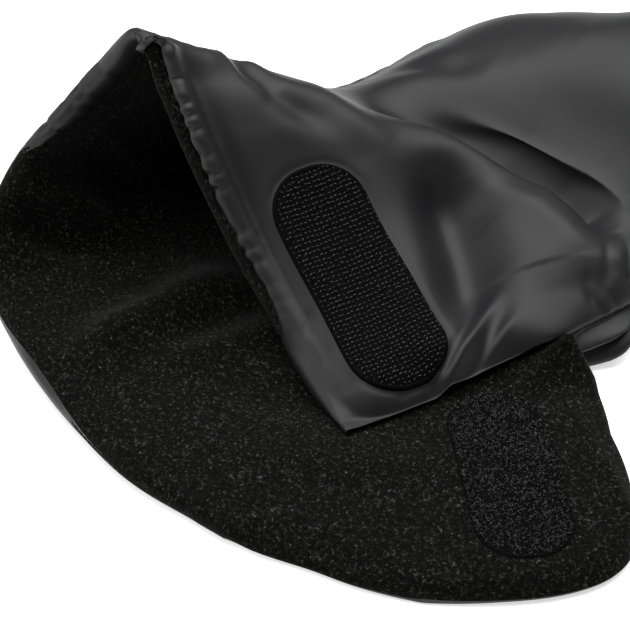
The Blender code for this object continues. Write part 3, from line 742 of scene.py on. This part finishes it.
def set_back():
    """How far the slit's side and the low rim stand back along the view, and roll under.

    There is room for it above the lower panel, and more of it away from the slit.
    """
    slit_side = 0.0110 * rolled(FROM_SLIT, 0.034) * (1 - past(FROM_RIM, 0.070, 0.032))
    low_rim = 0.0150 * rolled(FROM_RIM, 0.030) * (1 - past(FROM_SLIT, 0.080, 0.070))
    room = 0.0115 + 0.0060 * past(FROM_SLIT, 0.030, 0.030)
    return np.minimum(np.hypot(slit_side, low_rim), room)


UPPER_SHAPE -= set_back()[..., None] * TO_VIEWER
UPPER_BARE, UPPER_IN = both_sides(UPPER_SHAPE, UPPER_N, UPPER_WALL, UPPER_ROUND)
# The padding thins out towards the slit's edge
THINNED = 0.0040 * rolled(FROM_SLIT, 0.026) * (1 - past(FROM_RIM, 0.070, 0.030))
UPPER_BARE -= UPPER_N * (THINNED * UPPER_ROUND)[..., None]
# Beside the slit both sides stay above the flap's root
NEAR_SLIT = (FROM_SLIT < 0.07) & (FROM_RIM < 0.10)
for side, lowest in ((UPPER_IN, 0.0102), (UPPER_BARE, 0.0108)):
    side[..., 2] = np.where(NEAR_SLIT, np.maximum(side[..., 2], lowest), side[..., 2])
UPPER_OUT = UPPER_BARE + UPPER_N * (upper_heights() * UPPER_ROUND)[..., None]

LOWER_OUT, LOWER_IN = both_sides(LOWER_ALL, LOWER_ALL_N, LOWER_WALL, LOWER_ROUND)
LINING_RISE = folds(LOWER_FLAT, LOWER_LINING_FOLDS)
LINING_RISE += SLACK_HEIGHT * wave(LOWER_FLAT, 0.022, 6)
LOWER_IN -= LOWER_ALL_N * (LINING_RISE * LOWER_ROUND)[..., None]


def lower_heights():
    """Heights of the lower panel's nylon: two rolls of gathered cloth under the slit's end."""
    across, along = LOWER_FLAT[..., 0], LOWER_FLAT[..., 1]
    side = across[:, len(LOWER_U) - 1, None]
    from_side = np.where(across <= side, side - across, 1.0)
    closed = 1 - OPEN_SLIT
    side_seam = (V[:, None] > SLIT_END_SHARE) & (across <= side)
    place = (V[:, None] - SLIT_END_SHARE) / 0.12
    strength = smooth_step((place + 0.15) / 0.2) * smooth_step((1.15 - place) / 0.4)
    near = np.clip(1.10 - 0.70 * place, 0.35, 1.3)
    height = strength * sum(rise * MM * bell(from_side - middle * MM * near, width * MM)
                            for rise, middle, width in GATHERED_ROLLS)
    height += seam_puckers(along, across, 7)
    height += seam_puckers(along, from_side, 8) * closed
    height += seam_puckers(across, along[-1:] - along, 9) * (across <= side)
    height += SLACK_HEIGHT * wave(LOWER_FLAT, 0.028, 10)
    # The side stands out past the seam above it
    side_bulge = past(V[:, None], SLIT_END_SHARE, 0.10) * smooth_step((1 - V[:, None]) / 0.25)
    height += 0.0100 * side_bulge * bell(from_side - 0.017, 0.013)
    # A row of stitches runs round the flap, 5 mm inside its edge
    past_fold = smooth_step((across - side) / 0.010)
    to_edge = np.minimum(across[:, -1:] - across, np.minimum(along, along[SLIT_ROWS - 1] - along))
    height -= 0.0008 * past_fold * bell(to_edge - 0.005, 0.0010)
    # Along the seam the two panels' cloth meets
    return np.where(side_seam, height * smooth_step(from_side / 0.0030)
                    - SEAM_DEPTH * bell(from_side, SEAM_WIDTH) * closed, height)


LOWER_OUT += LOWER_ALL_N * (lower_heights() * LOWER_ROUND)[..., None]
LOWER_OUT[..., 2] = np.maximum(LOWER_OUT[..., 2], 0.0)
LOWER_ACROSS = LOWER_FLAT[0, :, 0]
UPPER_ACROSS = FROM_SLIT[0]
INNER = (40, 40)


def curl(points, outward, heights):
    """Moves a cloth's points to its outward side by the heights."""
    normals = grid_normals(points)
    sense = np.sign(np.sum(normals[INNER] * outward[INNER]))
    return points + normals * sense * heights[..., None]


def lip(distance):
    """A turned cloth edge: it stands a little proud and curls in at its very edge."""
    return 0.0007 * bell(distance - 0.0012, 0.0035) - 0.0011 * bell(distance, 0.0005)


def fleece_strip():
    """Where the upper nylon's edge lies, in rows from the rim.

    The fleece shows as a strip in front of it, all but near the slit's corner and the apex.
    """
    strip = STRIP_WIDTH * past(UPPER_ACROSS, 0.030, 0.05) - CORNER_TURN_IN
    strip -= APEX_TURN_IN * (1 - past(UPPER_ACROSS[-1] - UPPER_ACROSS, 0.002, 0.009))
    return np.sign(strip) * row_of(np.abs(strip))


def build_upper_shell():
    gathers = past(UPPER_ACROSS, 0.060, 0.04) * 0.85 + 0.15
    lobes = scallops(UPPER_ACROSS)
    edge = fleece_strip() - 0.9 * gathers * lobes
    points = round_the_rim(UPPER_OUT, UPPER_IN, edge, 1)
    distance = walked(points, 0)
    roll = gathers * (0.0012 * lobes * bell(distance - 0.001, 0.0060)
                      + 0.0024 * bell(distance - 0.0040, 0.0040))
    nick = -0.0016 * bell(UPPER_ACROSS - NICK_PLACE, 0.0011) * bell(distance, 0.006)
    points = curl(points, UPPER_N, lip(distance) + roll + nick)
    piece = grid_piece("upper_shell", NYLON, points, walked(points, 1), distance)
    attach(piece, "muff")
    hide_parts("shell_upper", "wadding_upper")


def hem_edge():
    """Where the lower nylon's turned edge lies at each column, in rows from the rim."""
    hem = HEM_WIDTH * (1 - past(LOWER_ACROSS, 0.050, 0.040))
    low_band = 0.0022 * bell(LOWER_ACROSS - 0.215, 0.030)
    return 1.0 - row_of(hem + low_band)


def lower_kept():
    """Which points exist of a cloth that turns round the lower panel's rim."""
    turned = np.ones((HEM_ROWS, LOWER_KEEP.shape[1]), bool)
    return np.concatenate((turned, LOWER_KEEP[TURN_ROW:]))


def build_lower_shell():
    edge = hem_edge()
    points = round_the_rim(LOWER_OUT, LOWER_IN - LOWER_ALL_N * HEM_GAP, edge, 1)
    distance = walked(points, 0)
    band = smooth_step(-(edge[None, :] + 2) / 4)
    creases = sum(bell(LOWER_ACROSS[None, :] - place - 0.25 * distance, 0.0013)
                  for place in HEM_CREASES)
    heights = lip(distance) * band - 0.0014 * creases * band * bell(distance - 0.004, 0.010)
    points = curl(points, LOWER_ALL_N, heights)
    points[..., 2] = np.maximum(points[..., 2], 0.0)
    piece = grid_piece("lower_shell", NYLON, points, walked(points, 1), distance, lower_kept(),
                       flip=True)
    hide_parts("shell_lower", "wadding_lower", "shell_flap", "wadding_flap")
    return piece


def build_upper_lining():
    edge = fleece_strip() + HEM_OVERLAP_ROWS
    points = round_the_rim(UPPER_OUT - UPPER_N * HEM_GAP, UPPER_IN, edge, -1)
    piece = grid_piece("upper_lining", FLEECE, points, walked(points, 1), walked(points, 0))
    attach(piece, "muff")
    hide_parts("lining_upper")


def build_lower_lining():
    points = round_the_rim(LOWER_OUT, LOWER_IN, hem_edge() + HEM_OVERLAP_ROWS, -1)
    piece = grid_piece("lower_lining", FLEECE, points, walked(points, 1), walked(points, 0),
                       lower_kept(), flip=True)
    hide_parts("lining_lower", "lining_flap")
    return piece


def blend_flap(piece):
    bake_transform(piece)


# Hook and loop tapes

# Hooks and loops are about twice as thick as real ones and more sparse, so as to show
BORDER = 0.0030
HOOK_PITCH = 0.0021
HOOK_INSET = 0.0012
HOOK_RADIUS = 0.00017
HOOK_PATH = ((-0.0004, 0, -0.0002), (-0.0004, 0, 0.0007), (-0.0001, 0, 0.0011),
             (0.0004, 0, 0.0011), (0.0007, 0, 0.0007))
LOOP_COUNT = 2300
LOOP_INSET = 0.0008
LOOP_RADIUS = 0.00011
LOOP_HALF_WIDTH, LOOP_HEIGHT, LOOP_FOOT = 0.0006, 0.0011, 0.0001
LOOP_SPARE = 0.018


def patch_grid(length, width, columns, rows):
    """Flat points of a round-ended patch, along and across it, and their distance to its edge."""
    a = np.sin(np.linspace(-1, 1, columns) * math.pi / 2)[None, :]
    b = np.sin(np.linspace(-1, 1, rows) * math.pi / 2)[:, None]
    radius = width / 2 * PATCH_CORNER_SHARE
    along = a * length / 2 + 0 * b
    into_corner = np.clip(np.abs(along) - (length / 2 - radius), 0, radius)
    across = b * (width / 2 - (radius - np.sqrt(radius ** 2 - into_corner ** 2)))
    return along, across, edge_distance(along, across, length, width)


def hook_flat(along, across):
    """Distances from the slit edge and from the mouth's rim of a place on the hook patch."""
    return (HOOK_EDGE_DISTANCE + HOOK_LENGTH / 2 + along,
            HOOK_MOUTH_DISTANCE + RIM_ROUND + across + HOOK_SLANT_SHARE * along)


def upper_places(from_slit, from_rim):
    """Rows and columns of the upper panel's grid at distances from the slit edge and the rim."""
    rows = np.interp(from_rim, FROM_RIM[:, 60], np.arange(len(V)))
    columns = np.zeros(rows.shape)
    for _ in range(3):
        for k in np.ndindex(rows.shape):
            row = int(round(rows[k]))
            columns[k] = np.interp(from_slit[k], FROM_SLIT[row], np.arange(len(UPPER_U)))
            column = int(round(columns[k]))
            rows[k] = np.interp(from_rim[k], FROM_RIM[:, column], np.arange(len(V)))
    return rows, columns


def patch_shape(distance, thickness):
    """Height of a sewn tape's face: it curves down at its edge and dips along its stitches."""
    return (thickness * np.sqrt(1 - (1 - np.clip(distance / 0.0009, 0, 1)) ** 2)
            - 0.0004 * bell(distance - 0.0022, 0.0006))


def hook_surface(along, across):
    rows, columns = upper_places(*hook_flat(along, across))
    return resample(UPPER_BARE, rows, columns), resample(UPPER_N, rows, columns)


def small_tube(name, path, radius, sides):
    """A short thread along a path of points: a mesh to be set many times."""
    bm = bmesh.new()
    ring = bmesh.ops.create_circle(bm, segments=sides, radius=radius, cap_ends=True)["verts"]
    heading = Vector(UP)
    bmesh.ops.translate(bm, vec=path[0], verts=ring)
    for before, after in zip(path[:-1], path[1:]):
        step = Vector(after) - Vector(before)
        face = [face for face in bm.faces if set(face.verts) == set(ring)]
        if before is path[0]:
            ring = list(bmesh.ops.extrude_discrete_faces(bm, faces=face)["faces"][0].verts)
        else:
            grown = bmesh.ops.extrude_face_region(bm, geom=face)["geom"]
            ring = [item for item in grown if isinstance(item, bmesh.types.BMVert)]
            bmesh.ops.delete(bm, geom=face, context="FACES_ONLY")
        turn = heading.rotation_difference(step.normalized()).to_matrix()
        bmesh.ops.rotate(bm, cent=before, matrix=turn, verts=ring)
        bmesh.ops.translate(bm, vec=step, verts=ring)
        heading = step.normalized()
    bmesh.ops.recalc_face_normals(bm, faces=bm.faces[:])
    mesh = bpy.data.meshes.new(name)
    bm.to_mesh(mesh)
    bm.free()
    return mesh


def many_piece(name, material, template, frames):
    """A piece of many small meshes, one for each frame: its place, three axes and size."""
    bm = bmesh.new()
    points = np.array([vert.co for vert in template.vertices])
    for place, axes, size in frames:
        first = len(bm.verts)
        bm.from_mesh(template)
        bm.verts.ensure_lookup_table()
        for vert, co in zip(bm.verts[first:], place + (points * size) @ axes + OFFSET):
            vert.co = co
    return mesh_object(name, bm, material)


def axes_at(normal, heading, turn):
    """Three axes at a place: along the heading turned about the normal, across it, and up."""
    ahead = heading - normal * (heading @ normal)
    ahead /= np.linalg.norm(ahead)
    side = np.cross(normal, ahead)
    ahead, side = (ahead * math.cos(turn) + side * math.sin(turn),
                   side * math.cos(turn) - ahead * math.sin(turn))
    return np.array((ahead, side, normal))


def build_hook_patch():
    along, across, distance = patch_grid(HOOK_LENGTH, HOOK_WIDTH, 110, 52)
    surface, normals = hook_surface(along, across)
    points = surface + normals * (patch_shape(distance, 0.0011) - 0.0002)[..., None]
    piece = grid_piece("hook_tape", HOOK_TAPE, points, along, across)
    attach(piece, "muff")
    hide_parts("hook_patch")

    hook = small_tube("hook", HOOK_PATH, HOOK_RADIUS, 4)
    chance = random.Random(11)
    lines, hooks = round(HOOK_LENGTH / HOOK_PITCH), round(HOOK_WIDTH / HOOK_PITCH)
    rows = (np.arange(lines) - (lines - 1) / 2) * HOOK_PITCH
    along = np.repeat(rows[:, None], hooks, axis=1)
    across = (np.arange(hooks) - (hooks - 1) / 2)[None, :] * HOOK_PITCH + 0 * along
    jitter = np.array([[chance.gauss(0, 0.00016) for _ in range(4)] for _ in range(along.size)])
    along, across = along.ravel() + jitter[:, 0], across.ravel() + jitter[:, 1]
    distance = edge_distance(along, across, HOOK_LENGTH, HOOK_WIDTH)
    inner = distance > HOOK_INSET
    along, across, distance = along[inner], across[inner], distance[inner]
    surface, normals = hook_surface(along, across)
    ahead, _ = hook_surface(along + 0.001, across)
    frames = []
    for k in range(len(along)):
        wild = 1.0 if distance[k] > BORDER else 3.0
        turn = (0.5 if k % 2 else -0.5) * math.pi + chance.gauss(0, 0.30) * wild
        place = surface[k] + normals[k] * 0.0008
        frames.append((place, axes_at(normals[k], ahead[k] - surface[k], turn),
                       chance.uniform(0.8, 1.1) / (1 if wild == 1.0 else 1.25)))
    piece = many_piece("hooks", HOOKS, hook, frames)
    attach(piece, "muff")
    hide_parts("hook_patch")


def loop_flat(along, across):
    """Plan of a place on the loop patch, which runs on past the fold under the slit's edge."""
    along = along - LOOP_SPARE / 2
    return (FOLD_LINE_X + LOOP_ROOT_DISTANCE + along * math.cos(LOOP_TURN)
            - across * math.sin(LOOP_TURN),
            FLAP_NEAR_Y + LOOP_NEAR_DISTANCE + along * math.sin(LOOP_TURN)
            + across * math.cos(LOOP_TURN))


def build_loop_patch(lining):
    bm = bmesh.new()
    bm.from_mesh(lining.data)
    tree = BVHTree.FromBMesh(bm)
    bm.free()

    def fleece_height(x, y):
        hit = tree.ray_cast(Vector((x, y, 0.015)) + Vector(OFFSET), Vector(-UP))[0]
        return hit.z if hit else WALL

    length = LOOP_LENGTH + LOOP_SPARE
    along, across, distance = patch_grid(length, LOOP_WIDTH, 90, 44)
    x, y = loop_flat(along, across)
    z = np.vectorize(fleece_height)(x, y)
    points = np.stack((x, y, z + patch_shape(distance, 0.0010) - 0.0003), axis=2)
    tape = grid_piece("loop_tape", LOOP_TAPE, points, along, across)

    bend = [(LOOP_HALF_WIDTH * math.cos(a), 0.0, LOOP_HEIGHT * math.sin(a) - LOOP_FOOT)
            for a in np.linspace(math.pi, 0, 6)]
    loop = small_tube("loop", bend, LOOP_RADIUS, 3)
    chance = random.Random(23)
    frames = []
    while len(frames) < LOOP_COUNT:
        a = chance.uniform(-length / 2, length / 2)
        b = chance.uniform(-LOOP_WIDTH / 2, LOOP_WIDTH / 2)
        if edge_distance(np.array(a), np.array(b), length, LOOP_WIDTH) < LOOP_INSET:
            continue
        x, y = loop_flat(a, b)
        normal = np.array((chance.gauss(0, 0.35), chance.gauss(0, 0.35), 1.0))
        normal /= np.linalg.norm(normal)
        place = np.array((x, y, fleece_height(x, y) + 0.0006))
        frames.append((place, axes_at(normal, np.array((1.0, 0, 0)), chance.uniform(0, 6.3)),
                       chance.uniform(0.7, 1.3)))
    loops = many_piece("loops", LOOPS, loop, frames)
    for piece in (tape, loops):
        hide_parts("loop_patch")
        blend_flap(piece)


build_upper_shell()
blend_flap(build_lower_shell())
build_upper_lining()
LOWER_LINING = build_lower_lining()
blend_flap(LOWER_LINING)
build_hook_patch()
build_loop_patch(LOWER_LINING)


# Room, light and camera

FLOOR_HALF_SIZE = 6.0
FLOOR_DROP = 0.0006
FLOOR_GLOW = 0.6
WORLD_STRENGTH = 0.14


def build_stage():
    bm = bmesh.new()
    bmesh.ops.create_grid(bm, x_segments=1, y_segments=1, size=FLOOR_HALF_SIZE)
    material, tree, shader = new_material("pale_floor", 0.9)
    shader.inputs["Base Color"].default_value = linear("#f4f4f4")
    # The floor glows a little, only where it is seen, so that it is white but for the shadow
    seen = add_node(tree, "ShaderNodeLightPath")
    shader.inputs["Emission Color"].default_value = linear("#ffffff")
    shown = seen.outputs["Is Camera Ray"]
    for kind in ("Is Glossy Ray", "Is Transmission Ray"):
        shown = add_node(tree, "ShaderNodeMath", {"operation": "ADD", "use_clamp": True},
                         {0: shown, 1: seen.outputs[kind]}).outputs["Value"]
    glow = add_node(tree, "ShaderNodeMath", {"operation": "MULTIPLY", 1: FLOOR_GLOW}, {0: shown})
    tree.links.new(glow.outputs["Value"], shader.inputs["Emission Strength"])
    bmesh.ops.translate(bm, vec=(0, 0, -FLOOR_DROP), verts=bm.verts[:])
    floor = mesh_object("floor", bm, material)


def stand(data, place, direction):
    """Sets a lamp or a camera at a place, turned to look in a direction."""
    item = bpy.data.objects.new(data.name, data)
    item.location = place
    item.rotation_euler = direction.to_track_quat("-Z", "Y").to_euler()
    bpy.context.scene.collection.objects.link(item)
    return item


def add_lamp(name, place, target, width, depth, power):
    lamp = bpy.data.lights.new(name, "AREA")
    lamp.shape = "RECTANGLE"
    lamp.size, lamp.size_y = width, depth
    lamp.energy = power
    stand(lamp, place, Vector(target) - Vector(place))


def build_light():
    world = bpy.data.worlds.new("studio")
    world.use_nodes = True
    background = world.node_tree.nodes["Background"]
    background.inputs["Color"].default_value = linear("#ffffff")
    background.inputs["Strength"].default_value = WORLD_STRENGTH
    bpy.context.scene.world = world
    add_lamp("overhead", (-0.28, 0.38, 1.20), (-0.28, 0.38, 0), 1.4, 2.0, 33.0)
    add_lamp("front_left", (-0.5, -1.3, 0.8), (0, 0, 0), 0.9, 0.9, 9.0)


def build_camera():
    camera = bpy.data.cameras.new("camera")
    camera.lens = LENS_MM
    camera.sensor_width = SENSOR_MM
    bpy.context.scene.camera = stand(camera, CAMERA_PLACE, VIEW_DIRECTION)


build_stage()
build_light()
build_camera()
bpy.context.scene.view_settings.view_transform = "Standard"
